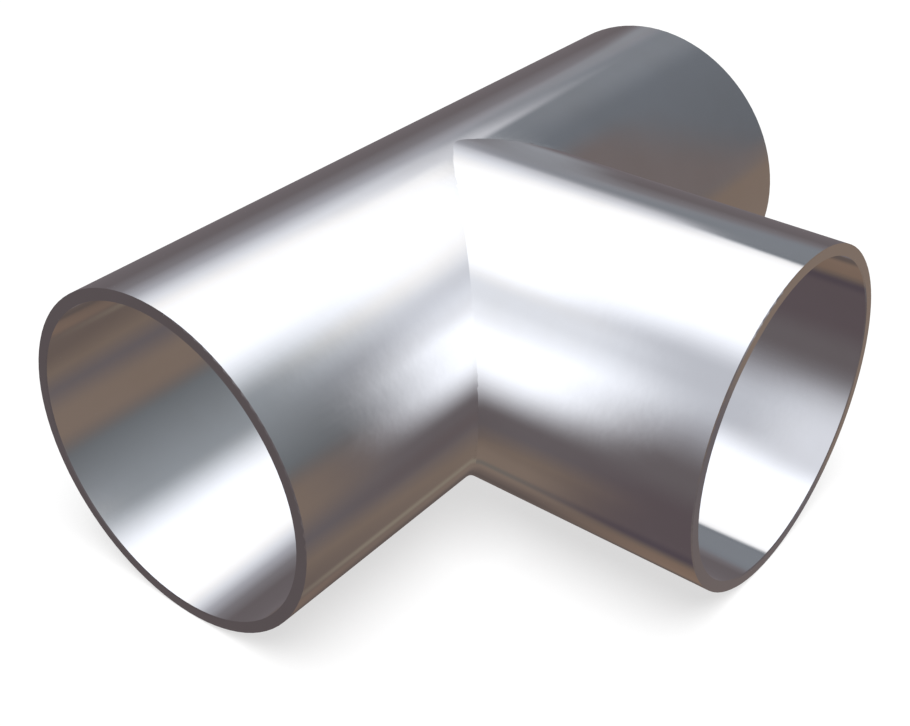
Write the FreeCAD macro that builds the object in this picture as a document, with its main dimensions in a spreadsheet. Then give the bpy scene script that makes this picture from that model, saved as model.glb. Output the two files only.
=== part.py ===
import FreeCAD, Part
import Sketcher
import os

# A polished stainless steel equal tee for thin-wall pipe, formed in one piece, with three plain
# square-cut ends. Millimetres. The run lies along X, the branch points to -Y and +Z is up, so the
# fitting lies flat. The origin is where the axes of the run and the branch cross.
#
# The solid outer form comes first, blended at the crotch. It is bored out from the crossing of the
# axes to each of the three ends, and blended inside so that the wall stays even.

DRIVING_SIZES = (
    ("pipe_diameter", 48.3, "outside diameter of the run"),
    ("wall", 1.65, "wall thickness, the same all over"),
    ("run_reach", 56.3, "from the crossing of the axes to either end of the run"),
    ("branch_reach", 56.3, "from the crossing of the axes to the end of the branch"),
    ("crotch_blend", 1.2, "outside radius where the branch turns out of the run"),
    ("draw_shrink", 0.05, "radius that the branch loses as it is drawn out of the run"),
    ("edge_break", 0.15, "width of the broken edge round each rim"),
)

# Sizes that follow from the driving sizes.
RUN_OUTSIDE = "sizes.pipe_diameter / 2"
RUN_INSIDE = "sizes.pipe_diameter / 2 - sizes.wall"
BRANCH_OUTSIDE = "sizes.pipe_diameter / 2 - sizes.draw_shrink"
BRANCH_INSIDE = "sizes.pipe_diameter / 2 - sizes.draw_shrink - sizes.wall"
CROTCH_OUTSIDE = "sizes.crotch_blend"
CROTCH_INSIDE = "sizes.crotch_blend + sizes.wall"

doc = FreeCAD.newDocument("pipe_tee")


# Driving dimensions

def make_sheet():
    """One cell for each size that can be set by itself, with what it measures beside it."""
    sheet = doc.addObject("Spreadsheet::Sheet", "sizes")
    for row, (alias, value, meaning) in enumerate(DRIVING_SIZES, start=1):
        sheet.set(f"A{row}", str(value))
        sheet.setAlias(f"A{row}", alias)
        sheet.set(f"B{row}", meaning)
    doc.recompute()
    return sheet


sizes = make_sheet()


# Sections

def round_section(body, name, role, radius):
    """A circle about the body's origin, on the plane of that role, with its radius bound to a size."""
    sketch = body.newObject("Sketcher::SketchObject", name)
    plane = next(item for item in body.Origin.OriginFeatures if item.Role == role)
    sketch.AttachmentSupport = [(plane, "")]
    sketch.MapMode = "FlatFace"
    centre = FreeCAD.Vector(0, 0, 0)
    normal = FreeCAD.Vector(0, 0, 1)
    start = sizes.pipe_diameter / 2
    circle = sketch.addGeometry(Part.Circle(centre, normal, start))
    sketch.addConstraint(Sketcher.Constraint("Coincident", circle, 3, -1, 1))
    index = sketch.addConstraint(Sketcher.Constraint("Radius", circle, start))
    sketch.renameConstraint(index, "radius")
    sketch.setExpression("Constraints.radius", radius)
    return sketch


def section_across_run(body, name, radius):
    return round_section(body, name, "YZ_Plane", radius)


def section_across_branch(body, name, radius):
    return round_section(body, name, "XZ_Plane", radius)


# Finding edges on a half-finished form

def is_kind(face, kind):
    return face.Surface.TypeId == f"Part::Geom{kind}"


def names_of_edges(feature, test):
    """The names, such as Edge4, of the edges that pass the test with their neighbouring faces."""
    shape = feature.Shape
    names = [
        f"Edge{number}"
        for number, edge in enumerate(shape.Edges, start=1)
        if test(edge, shape.ancestorsOfType(edge, Part.Face))
    ]
    if not names:
        raise RuntimeError(f"{feature.Label} has no edge where one is needed")
    return names


def barrels_cross(edge, faces):
    """True for the saddle-shaped ring where two round barrels meet. Circles lie across one barrel
    and lines run along it, so neither is part of the ring."""
    is_saddle = edge.Curve.TypeId not in ("Part::GeomLine", "Part::GeomCircle")
    return is_saddle and all(is_kind(face, "Cylinder") for face in faces)


def bores_cross(edge, faces):
    """True for the ring where the bores meet. It lies within the wall of the run."""
    reach = max(abs(edge.BoundBox.XMin), abs(edge.BoundBox.XMax))
    return barrels_cross(edge, faces) and reach < sizes.pipe_diameter / 2 - sizes.wall


def bounds_an_end(edge, faces):
    """True for the outer and the inner rim of a cut end."""
    return any(is_kind(face, "Plane") for face in faces)


# Features

def add_barrel(body, name, section, reach, both_ways=False):
    """A solid barrel from the crossing of the axes to its end, or to an end on both sides."""
    barrel = body.newObject("PartDesign::Pad", name)
    barrel.Profile = section
    if both_ways:
        barrel.SideType = "Symmetric"
        reach = f"2 * {reach}"
    barrel.setExpression("Length", reach)
    doc.recompute()
    return barrel


def bore_out(body, name, section, forwards):
    """Bores from the crossing of the axes out through one end, forwards or backwards along the
    normal of the section. The walls of two bores in line stay faces of their own."""
    before = body.Shape.Volume
    bore = body.newObject("PartDesign::Pocket", name)
    bore.Profile = section
    bore.Type = "ThroughAll"
    bore.Reversed = forwards
    bore.Refine = False
    doc.recompute()
    if bore.Shape.Volume >= before:
        raise RuntimeError(f"{name} cut nothing")
    return bore


def round_crotch(body, name, base, test, radius):
    """Rounds the ring where two barrels meet. The rounding is full at the sides of the fitting and
    fades away at the top and bottom, where the barrels run into each other."""
    crotch = body.newObject("PartDesign::Fillet", name)
    crotch.Base = (base, names_of_edges(base, test))
    crotch.setExpression("Radius", radius)
    crotch.Refine = False
    doc.recompute()
    return crotch


def break_rims(body, base):
    """Takes the sharp edge off the outside and inside of each cut end."""
    rims = body.newObject("PartDesign::Chamfer", "rims")
    rims.Base = (base, names_of_edges(base, bounds_an_end))
    rims.setExpression("Size", "sizes.edge_break")
    rims.Refine = False
    doc.recompute()
    return rims


def make_tee_body():
    body = doc.addObject("PartDesign::Body", "tee_body")
    body.Label = "tee_body"
    body.Placement = FreeCAD.Placement()

    run_section = section_across_run(body, "run_section", RUN_OUTSIDE)
    add_barrel(body, "run", run_section, "sizes.run_reach", both_ways=True)
    branch_section = section_across_branch(body, "branch_section", BRANCH_OUTSIDE)
    branch = add_barrel(body, "branch", branch_section, "sizes.branch_reach")
    round_crotch(body, "crotch_outside", branch, barrels_cross, CROTCH_OUTSIDE)

    right_section = section_across_run(body, "right_bore_section", RUN_INSIDE)
    bore_out(body, "right_bore", right_section, forwards=True)
    left_section = section_across_run(body, "left_bore_section", RUN_INSIDE)
    bore_out(body, "left_bore", left_section, forwards=False)
    bore_section = section_across_branch(body, "branch_bore_section", BRANCH_INSIDE)
    branch_bore = bore_out(body, "branch_bore", bore_section, forwards=True)
    # The inside radius is one wall more, about the same centres, so the wall stays even.
    crotch_inside = round_crotch(body, "crotch_inside", branch_bore, bores_cross, CROTCH_INSIDE)

    break_rims(body, crotch_inside)
    return body


# Build, check and export

sub_parts = [make_tee_body()]
doc.recompute()

for item in doc.Objects:
    if "Invalid" in item.State or "Error" in item.State:
        raise RuntimeError(f"{item.Label} failed to build: {item.State}")

os.makedirs("parts", exist_ok=True)
for sub_part in sub_parts:
    shape = sub_part.Shape
    if shape.isNull() or not shape.isValid() or len(shape.Solids) != 1:
        raise RuntimeError(f"{sub_part.Label} is not one valid solid")
    shape.exportStep(f"parts/{sub_part.Label}.step")
    print(sub_part.Label, f"{shape.Volume:.1f} mm3", shape.BoundBox)
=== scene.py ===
import bmesh
import bpy
import numpy as np
from mathutils import Matrix, Vector

# A polished stainless steel pipe tee, lying flat on a white table. Metres, in the frame of the CAD
# model: the run lies along X, the branch points to -Y and +Z is up. The origin is where the axes
# of the run and the branch cross.

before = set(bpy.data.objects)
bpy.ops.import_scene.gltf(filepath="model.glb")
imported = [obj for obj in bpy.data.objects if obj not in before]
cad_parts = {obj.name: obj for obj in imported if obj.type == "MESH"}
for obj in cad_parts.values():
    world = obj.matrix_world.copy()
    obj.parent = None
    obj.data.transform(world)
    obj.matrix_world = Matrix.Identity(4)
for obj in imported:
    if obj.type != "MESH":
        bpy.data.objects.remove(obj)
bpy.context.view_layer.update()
scene = bpy.context.scene

# Each barrel's outside radius and bore radius, and how far a square-cut end is from the middle
RUN_RADII = (0.02415, 0.0225)
BRANCH_RADII = (0.0241, 0.02245)
END_REACH = 0.0563
FLOOR_Z = -RUN_RADII[0]

PLAIN_WHITE = (1, 1, 1, 1)
TABLE_GLOW = 0.65   # share of the table's look that is plain white, which no shadow reaches


# Colours

def linear(value):
    """One channel of a screen colour, 0 to 255, as linear light."""
    value = value / 255
    return value / 12.92 if value <= 0.04045 else ((value + 0.055) / 1.055) ** 2.4


def screen(red, green, blue):
    """A screen colour as linear light."""
    return np.array([linear(red), linear(green), linear(blue)])


# Node helpers

def new_material(name):
    material = bpy.data.materials.new(name)
    material.use_nodes = True
    tree = material.node_tree
    tree.nodes.clear()
    output = tree.nodes.new("ShaderNodeOutputMaterial")
    return material, tree, output


def add_node(tree, kind, inputs=None, **settings):
    """A node with its settings, and its inputs either set or linked."""
    node = tree.nodes.new(kind)
    for name, value in settings.items():
        setattr(node, name, value)
    for name, value in (inputs or {}).items():
        socket = node.inputs[name]
        if isinstance(value, bpy.types.NodeSocket):
            tree.links.new(value, socket)
        else:
            socket.default_value = value
    return node


def noise(tree, place, scale, detail, roughness):
    node = add_node(tree, "ShaderNodeTexNoise", {
        "Vector": place, "Scale": scale, "Detail": detail, "Roughness": roughness,
    })
    return node.outputs["Fac"]


def remap(tree, value, span, onto):
    """A value moved from one span onto another, and held at its ends."""
    node = add_node(tree, "ShaderNodeMapRange", {
        "Value": value,
        "From Min": span[0], "From Max": span[1],
        "To Min": onto[0], "To Max": onto[1],
    })
    return node.outputs["Result"]


def bump(tree, height, strength, distance, under=None):
    """Normals of a relief, laid over the relief under it."""
    inputs = {"Strength": strength, "Distance": distance, "Height": height}
    if under is not None:
        inputs["Normal"] = under
    return add_node(tree, "ShaderNodeBump", inputs).outputs["Normal"]


def math_node(tree, operation, first, second=0.0):
    return add_node(tree, "ShaderNodeMath", {0: first, 1: second}, operation=operation).outputs[0]


def vector_node(tree, operation, output, inputs):
    node = add_node(tree, "ShaderNodeVectorMath", dict(enumerate(inputs)), operation=operation)
    return node.outputs[output]


def parts_of(tree, vector):
    """A vector's X, Y and Z."""
    return add_node(tree, "ShaderNodeSeparateXYZ", {0: vector}).outputs


def on_faces(tree, field, data_type):
    """A field's one value for each face."""
    node = add_node(tree, "GeometryNodeFieldOnDomain", {0: field},
                    data_type=data_type, domain="FACE")
    return node.outputs[0]


# Smooth barrels
#
# The facets of the CAD mesh meet with averaged normals, which bend the reflections of a polished
# barrel beside the crotch and the rims. A modifier gives each corner the normal of its true round
# surface. The outside crotch is drawn so tight that the reflections of the barrels meet there in a
# mitre, so each half of it takes its own barrel's normal, and the edges between the halves are
# sharp. The rims' broken edges take the normal of the square-cut end beside them. Nothing is moved.

RUN_ACROSS = (0.0, 1.0, 1.0)     # what is left of a place across the run's axis
BRANCH_ACROSS = (1.0, 0.0, 1.0)  # and across the branch's axis
BRANCH_OUT = (0.0, -1.0, 0.0)    # out of the branch along its axis

ON_RADIUS = 0.000005      # a corner this near a barrel's radius lies on the barrel
SQUARE_ON = 0.87          # least cosine between the normal of a barrel's face and the radius
PAST_RADIUS = 0.0000002   # a face whose middle is this far outside a barrel isn't part of it
RIM_DEPTH = 0.0002        # the broken edges lie within this of the end
RIM_TILT = 0.5            # least cosine between the normal of a rim's face and the axis
NEAR_HALF = 0.4           # an edge this near to lying half in the branch's half is on the mitre


def off_axis(tree, place, across):
    """The way to a place straight out from a barrel's axis, and its length."""
    way = vector_node(tree, "MULTIPLY", "Vector", (place, across))
    return way, vector_node(tree, "LENGTH", "Value", (way,))


def barrel_normal(tree, place, flat, across, radii):
    """How squarely a face lies on a barrel, outside it or in its bore, and the barrel's normal
    there. 0 is not on it."""
    way, distance = off_axis(tree, place, across)
    away = vector_node(tree, "NORMALIZE", "Vector", (way,))
    gaps = [
        math_node(tree, "ABSOLUTE", math_node(tree, "SUBTRACT", distance, radius))
        for radius in radii
    ]
    touches = math_node(tree, "LESS_THAN", math_node(tree, "MINIMUM", *gaps), ON_RADIUS)
    side = vector_node(tree, "DOT_PRODUCT", "Value", (away, flat))
    square = math_node(tree, "ABSOLUTE", side)
    faces = math_node(tree, "MULTIPLY", touches,
                      math_node(tree, "GREATER_THAN", square, SQUARE_ON))
    normal = add_node(tree, "ShaderNodeVectorMath", {
        "Vector": away, "Scale": math_node(tree, "SIGN", side),
    }, operation="SCALE").outputs["Vector"]
    return math_node(tree, "MULTIPLY", faces, square), normal


def in_crotch(tree, middle):
    """Whether a face lies outside both barrels, and whether it is in the branch's half."""
    outside = []
    for across, radii in ((RUN_ACROSS, RUN_RADII), (BRANCH_ACROSS, BRANCH_RADII)):
        distance = off_axis(tree, middle, across)[1]
        outside.append(math_node(tree, "GREATER_THAN", distance, radii[0] + PAST_RADIUS))
    spot = parts_of(tree, middle)
    side = math_node(tree, "ABSOLUTE", spot["X"])
    along = math_node(tree, "MULTIPLY", spot["Y"], -1.0)
    toward_branch = math_node(tree, "GREATER_THAN", along, side)
    return math_node(tree, "MULTIPLY", *outside), toward_branch


def on_end(tree, reach, tilt):
    """Whether a face belongs to a square-cut end or its broken edges."""
    near = math_node(tree, "GREATER_THAN", reach, END_REACH - RIM_DEPTH)
    square = math_node(tree, "GREATER_THAN", math_node(tree, "ABSOLUTE", tilt), RIM_TILT)
    return math_node(tree, "MULTIPLY", near, square)


def smooth_barrels(tee):
    tree = bpy.data.node_groups.new("smooth_barrels", "GeometryNodeTree")
    tree.interface.new_socket("Geometry", in_out="INPUT", socket_type="NodeSocketGeometry")
    tree.interface.new_socket("Geometry", in_out="OUTPUT", socket_type="NodeSocketGeometry")
    source = tree.nodes.new("NodeGroupInput")
    result = tree.nodes.new("NodeGroupOutput")
    place = add_node(tree, "GeometryNodeInputPosition").outputs[0]
    middle = on_faces(tree, place, "FLOAT_VECTOR")
    given = add_node(tree, "GeometryNodeInputNormal").outputs
    flat = on_faces(tree, given["True Normal"], "FLOAT_VECTOR")

    spot = parts_of(tree, place)
    tilt = parts_of(tree, flat)
    run_end = on_end(tree, math_node(tree, "ABSOLUTE", spot["X"]), tilt["X"])
    run_out = add_node(tree, "ShaderNodeCombineXYZ", {0: math_node(tree, "SIGN", spot["X"])})
    branch_end = on_end(tree, math_node(tree, "MULTIPLY", spot["Y"], -1.0), tilt["Y"])
    on_branch, branch_normal = barrel_normal(tree, place, flat, BRANCH_ACROSS, BRANCH_RADII)
    on_run, run_normal = barrel_normal(tree, place, flat, RUN_ACROSS, RUN_RADII)
    crotch, toward_branch = in_crotch(tree, middle)
    choices = [
        (math_node(tree, "GREATER_THAN", on_branch, 0.0), branch_normal),
        (math_node(tree, "GREATER_THAN", on_run, on_branch), run_normal),
        (crotch, run_normal),
        (math_node(tree, "MULTIPLY", crotch, toward_branch), branch_normal),
        (run_end, run_out.outputs[0]),
        (branch_end, BRANCH_OUT),
    ]
    normal = given["Normal"]
    for chosen, other in choices:
        normal = add_node(tree, "GeometryNodeSwitch", {
            "Switch": chosen, "False": normal, "True": other,
        }, input_type="VECTOR").outputs[0]

    # An edge takes the mean of its faces, so one between the halves is half in each
    share = math_node(tree, "SUBTRACT", on_faces(tree, toward_branch, "FLOAT"), 0.5)
    off_half = math_node(tree, "ABSOLUTE", share)
    fold = add_node(tree, "GeometryNodeSetShadeSmooth", {
        0: source.outputs[0],
        "Selection": math_node(tree, "LESS_THAN", off_half, NEAR_HALF),
        "Shade Smooth": False,
    }, domain="EDGE")
    put = add_node(tree, "GeometryNodeSetMeshNormal", {
        "Mesh": fold.outputs[0], "Custom Normal": normal,
    }, mode="FREE", domain="CORNER")
    tree.links.new(put.outputs[0], result.inputs[0])
    tee.modifiers.new("smooth_barrels", "NODES").node_group = tree


# Steel

STEEL = (0.662, 0.657, 0.652, 1.0)
TARNISH = (0.632, 0.621, 0.607, 1.0)
HEAD_ON = 0.655       # share of the light that the steel gives back head-on
DRAWN_OUT = 0.02      # scale of the grain's coordinates along a barrel
GRAIN_TURN = 0.0008   # the grain turns from run to branch over this, each side of the mitre


def grain_place(tree, place):
    """Coordinates squeezed along each barrel, so that a noise in them is drawn out into fine lines
    that follow the run on the run and the branch on the branch."""
    spot = parts_of(tree, place)
    past_mitre = math_node(tree, "ADD", spot["Y"], math_node(tree, "ABSOLUTE", spot["X"]))
    on_branch = remap(tree, past_mitre, (-GRAIN_TURN, GRAIN_TURN), (1.0, 0.0))
    along_run, along_branch = [
        add_node(tree, "ShaderNodeMapping", {"Vector": place, "Scale": scale}).outputs[0]
        for scale in ((DRAWN_OUT, 1.0, 1.0), (1.0, DRAWN_OUT, 1.0))
    ]
    mix = add_node(tree, "ShaderNodeMix", {
        0: on_branch, 4: along_run, 5: along_branch,
    }, data_type="VECTOR")
    return mix.outputs[1]


def steel_material():
    """Polished stainless steel. A faint drawn grain runs along each barrel, the polish is a little
    uneven and the colour warms slightly where the surface has been handled."""
    material, tree, output = new_material("polished_stainless")
    place = add_node(tree, "ShaderNodeTexCoord").outputs["Object"]
    grain = noise(tree, grain_place(tree, place), scale=2400.0, detail=3.0, roughness=0.55)
    polish = noise(tree, place, scale=95.0, detail=4.0, roughness=0.6)
    handled = noise(tree, place, scale=38.0, detail=5.0, roughness=0.62)
    pits = noise(tree, place, scale=5200.0, detail=2.0, roughness=0.5)

    tint = add_node(tree, "ShaderNodeMix", {
        0: remap(tree, handled, (0.42, 0.68), (0.0, 1.0)), 6: STEEL, 7: TARNISH,
    }, data_type="RGBA")
    smooth = remap(tree, polish, (0.3, 0.7), (0.035, 0.065))
    drawn = remap(tree, grain, (0.3, 0.7), (-0.01, 0.01))

    waves = bump(tree, polish, strength=0.5, distance=0.000018)
    lines = bump(tree, grain, strength=0.6, distance=0.0000018, under=waves)
    grit = bump(tree, pits, strength=0.4, distance=0.0000008, under=lines)
    shader = add_node(tree, "ShaderNodeBsdfPrincipled", {
        "Base Color": tint.outputs[2],
        "Metallic": 1.0,
        "Roughness": math_node(tree, "ADD", smooth, drawn),
        "Normal": grit,
    })
    tree.links.new(shader.outputs["BSDF"], output.inputs["Surface"])
    return material


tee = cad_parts["tee_body"]
steel = steel_material()
for slot in tee.material_slots:
    slot.material = steel
smooth_barrels(tee)


# Studio

def seen(red, green, blue):
    """The light that the steel gives back head-on as this screen colour."""
    return screen(red, green, blue) / HEAD_ON


WHITE = np.array([1.62, 1.68, 1.82])
PALE = seen(222, 226, 235)
BLIND = seen(185, 188, 197)
MIST = seen(121, 125, 132)
SHADE = seen(97, 91, 94)
BROWN = seen(106, 94, 89)
TAN = seen(120, 106, 97)
PLUM = seen(87, 78, 82)
UMBER = seen(84, 75, 72)


def step(value, edge, soft):
    """0 below the edge and 1 above it, smooth over soft on either side."""
    t = np.clip((value - edge + soft) / (2 * soft), 0, 1)
    return t * t * (3 - 2 * t)


def room_colours(rays):
    """The room alone: white ceiling, pale walls that darken towards the horizon, brown below it."""
    elevation = np.degrees(np.arcsin(np.clip(rays[:, 2], -1, 1)))
    heights, colours = zip(
        (-90, 0.85 * BROWN),
        (-60, 0.87 * BROWN),
        (-50, 0.9 * TAN),
        (-38, SHADE),
        (4, SHADE),
        (16, seen(118, 115, 120)),
        (26, seen(163, 164, 172)),
        (34, seen(216, 219, 227)),
        (41, seen(250, 250, 252)),
        (47, WHITE),
    )
    channels = np.array(colours).T
    return np.stack([np.interp(elevation, heights, channel) for channel in channels], 1)


def studio_colours(rays):
    """What the polished surface sees in each direction. A barrel sees the room in hoops about its
    own axis, so the windows, blinds and boards are stretches of hoops about X, for the run, and
    about Y, for the branch. A turn of 0 is level on the camera's side and 90 is straight up."""
    x, y, z = rays.T
    about_x = (np.degrees(np.arctan2(z, -y)), np.degrees(np.arccos(np.clip(x, -1, 1))))
    about_y = (np.degrees(np.arctan2(z, -x)), np.degrees(np.arccos(np.clip(y, -1, 1))))
    glow = room_colours(rays)

    def hoop(axis, turns, offs, colour, last=None, *, soft, edge, lean=0.0):
        """One stretch between two turns, and between two angles off the axis. Its ends fade over
        soft and its sides over edge. It shades from colour to last along the turns, and it leans
        by this many degrees off the axis for each degree of turn."""
        nonlocal glow
        middle = (turns[0] + turns[1]) / 2
        half = (turns[1] - turns[0]) / 2
        turn = (axis[0] - middle + 180) % 360 - 180
        off = axis[1] - lean * turn
        cover = (step(turn, -half, soft[0]) * step(-turn, -half, soft[1])
                 * step(off, offs[0], edge) * step(-off, -offs[1], edge))[:, None]
        share = np.clip((turn + half) / (2 * half), 0, 1)[:, None]
        paint = colour * (1 - share) + (colour if last is None else last) * share
        glow = glow * (1 - cover) + paint * cover

    # Patches of the ground, dark or brown
    hoop(about_x, (-140, -106), (46, 72), UMBER, soft=(9, 9), edge=4)
    hoop(about_y, (-140, -106), (56, 66), UMBER, soft=(9, 9), edge=4)
    hoop(about_y, (-96, -64), (54, 65.5), TAN, soft=(8, 8), edge=2.5)
    hoop(about_y, (-88, -34), (66, 80), PLUM, soft=(6, 12), edge=3)
    hoop(about_x, (-54, -42), (46, 56), seen(94, 86, 88), soft=(6, 6), edge=2)
    hoop(about_y, (-62, -36), (36, 60), seen(86, 79, 81), soft=(6, 6), edge=3)
    hoop(about_x, (-94, -88), (44, 60), seen(123, 114, 103), soft=(3, 3), edge=4)
    hoop(about_y, (-89, -83), (54, 65), seen(106, 100, 95), soft=(3, 3), edge=3)
    hoop(about_y, (-120, -96), (67, 84), seen(116, 98, 87), soft=(6, 5), edge=4)
    hoop(about_y, (-90, -82), (65, 84), seen(76, 68, 75), soft=(5, 5), edge=4)
    # Right of the camera: a grey wall, a tan strip under it, and a pale strip and a window
    # beside it
    hoop(about_x, (-8, 66), (53, 68), seen(90, 93, 97), seen(149, 155, 162),
         soft=(14, 18), edge=5)
    hoop(about_x, (-36, -4), (56, 72), TAN, soft=(12, 10), edge=3)
    hoop(about_x, (25, 45), (42, 51), seen(210, 214, 224), soft=(9, 9), edge=3)
    hoop(about_x, (-21, 26), (40, 52), WHITE, soft=(15, 14), edge=3.5)
    # Slate board past the far end of the run: paler beyond its top, tan along its foot, with a
    # warm trim inside its edge, a pale slit outside its edge and a grey strip low on it
    hoop(about_x, (-75, 140), (0, 42.7), seen(88, 90, 95), seen(108, 113, 121),
         soft=(12, 12), edge=2.2, lean=0.02)
    hoop(about_x, (106, 139), (0, 42.7), MIST, soft=(14, 12), edge=2.2, lean=0.02)
    hoop(about_x, (-75, -5), (0, 41.5), TAN, soft=(15, 15), edge=1.2)
    hoop(about_x, (-10, 80), (36.5, 41.5), seen(109, 101, 101),
         soft=(12, 12), edge=1.5, lean=0.055)
    hoop(about_y, (138, 147), (58, 66), seen(212, 214, 221), seen(176, 177, 184),
         soft=(5, 5), edge=2)
    hoop(about_y, (152, 190), (56.5, 61), seen(132, 134, 140), soft=(9, 9), edge=1.8)
    # Left of the camera: a blind, two pale strips and a window
    hoop(about_y, (11, 64), (61, 90), BLIND, soft=(28, 14), edge=4, lean=0.12)
    hoop(about_y, (18, 66), (71.6, 90), seen(213, 216, 225), soft=(24, 14), edge=1.6)
    hoop(about_y, (24, 51), (50, 65.5), PALE, soft=(10, 9), edge=3)
    hoop(about_y, (-17, 28), (50, 65.5), WHITE, soft=(18, 12), edge=3.5, lean=0.05)
    return glow


def make_tent():
    """A round tent about the table, far enough off to look the same from every point of the tee.
    Only the reflections in the steel show it."""
    mesh = bpy.data.meshes.new("tent")
    form = bmesh.new()
    bmesh.ops.create_uvsphere(form, u_segments=320, v_segments=160, radius=30.0)
    form.to_mesh(mesh)
    form.free()
    spots = np.zeros(len(mesh.vertices) * 3)
    mesh.vertices.foreach_get("co", spots)
    spots = spots.reshape(-1, 3)
    rays = spots / np.linalg.norm(spots, axis=1)[:, None]
    colours = np.ones((len(rays), 4))
    colours[:, :3] = studio_colours(rays)
    layer = mesh.color_attributes.new("glow", "FLOAT_COLOR", "POINT")
    layer.data.foreach_set("color", colours.astype(np.float32).ravel())

    material, tree, output = new_material("tent_wall")
    glow = add_node(tree, "ShaderNodeAttribute", attribute_name="glow")
    light = add_node(tree, "ShaderNodeEmission", {"Color": glow.outputs["Color"], "Strength": 1.0})
    tree.links.new(light.outputs["Emission"], output.inputs["Surface"])
    material.cycles.emission_sampling = "NONE"
    mesh.materials.append(material)
    tent = bpy.data.objects.new("tent", mesh)
    scene.collection.objects.link(tent)
    tent.visible_camera = False
    tent.visible_diffuse = False
    tent.visible_shadow = False


def white_share(tree, share):
    """Share of plain white that a camera, mirror or glass ray gets."""
    ray = add_node(tree, "ShaderNodeLightPath").outputs
    direct = math_node(tree, "MAXIMUM", ray["Is Camera Ray"], ray["Is Glossy Ray"])
    direct = math_node(tree, "MAXIMUM", direct, ray["Is Transmission Ray"])
    return math_node(tree, "MULTIPLY", direct, share)


def make_floor():
    """A white table top. The camera sees it as white paper that keeps a soft shadow."""
    mesh = bpy.data.meshes.new("floor")
    form = bmesh.new()
    bmesh.ops.create_circle(form, cap_ends=True, segments=96, radius=12.0)
    form.to_mesh(mesh)
    form.free()
    material, tree, output = new_material("white_table")
    paper = add_node(tree, "ShaderNodeBsdfDiffuse", {"Color": (0.98, 0.98, 0.98, 1.0)})
    white = add_node(tree, "ShaderNodeEmission", {"Color": PLAIN_WHITE, "Strength": 1.0})
    mix = add_node(tree, "ShaderNodeMixShader", {
        0: white_share(tree, TABLE_GLOW), 1: paper.outputs[0], 2: white.outputs[0],
    })
    tree.links.new(mix.outputs[0], output.inputs["Surface"])
    mesh.materials.append(material)
    floor = bpy.data.objects.new("floor", mesh)
    floor.location = (0, 0, FLOOR_Z)
    scene.collection.objects.link(floor)
    floor.visible_glossy = False


def make_lamp():
    """Even light from overhead and a little to the camera's side, as wide as a large soft box. The
    tent's ceiling stands for it in the reflections."""
    light = bpy.data.lights.new("overhead", "SUN")
    light.angle = 0.77
    light.energy = 3.5
    lamp = bpy.data.objects.new("overhead", light)
    place = Vector((-0.26, -0.26, 1.0))
    lamp.location = place
    lamp.rotation_euler = (-place).to_track_quat("-Z", "Y").to_euler()
    scene.collection.objects.link(lamp)
    lamp.visible_glossy = False


def make_world():
    """White to the eye, and a low even fill on everything else."""
    world = bpy.data.worlds.new("room")
    world.use_nodes = True
    scene.world = world
    tree = world.node_tree
    tree.nodes.clear()
    output = tree.nodes.new("ShaderNodeOutputWorld")
    fill = add_node(tree, "ShaderNodeBackground", {"Color": PLAIN_WHITE, "Strength": 0.15})
    white = add_node(tree, "ShaderNodeBackground", {"Color": PLAIN_WHITE, "Strength": 1.0})
    mix = add_node(tree, "ShaderNodeMixShader", {
        0: white_share(tree, 1.0), 1: fill.outputs[0], 2: white.outputs[0],
    })
    tree.links.new(mix.outputs[0], output.inputs["Surface"])


make_tent()
make_floor()
make_lamp()
make_world()
# No barrel shows in another's polish, only the room does
tee.visible_glossy = False


# Camera

def make_camera():
    """The photo's own viewpoint, found by fitting the outline of the barrels and rims."""
    camera_data = bpy.data.cameras.new("camera")
    camera_data.lens = 54.22
    camera_data.sensor_width = 36
    camera_data.shift_x = -0.01725
    camera_data.shift_y = -0.0357
    camera_data.clip_start = 0.005
    camera = bpy.data.objects.new("camera", camera_data)
    place = Vector((-0.13839, -0.11252, 0.10502))
    forward = Vector((0.66476, 0.52082, -0.53558))
    turn = forward.to_track_quat("-Z", "Y")
    camera.matrix_world = Matrix.Translation(place) @ turn.to_matrix().to_4x4()
    scene.collection.objects.link(camera)
    scene.camera = camera


make_camera()
scene.view_settings.view_transform = "Standard"
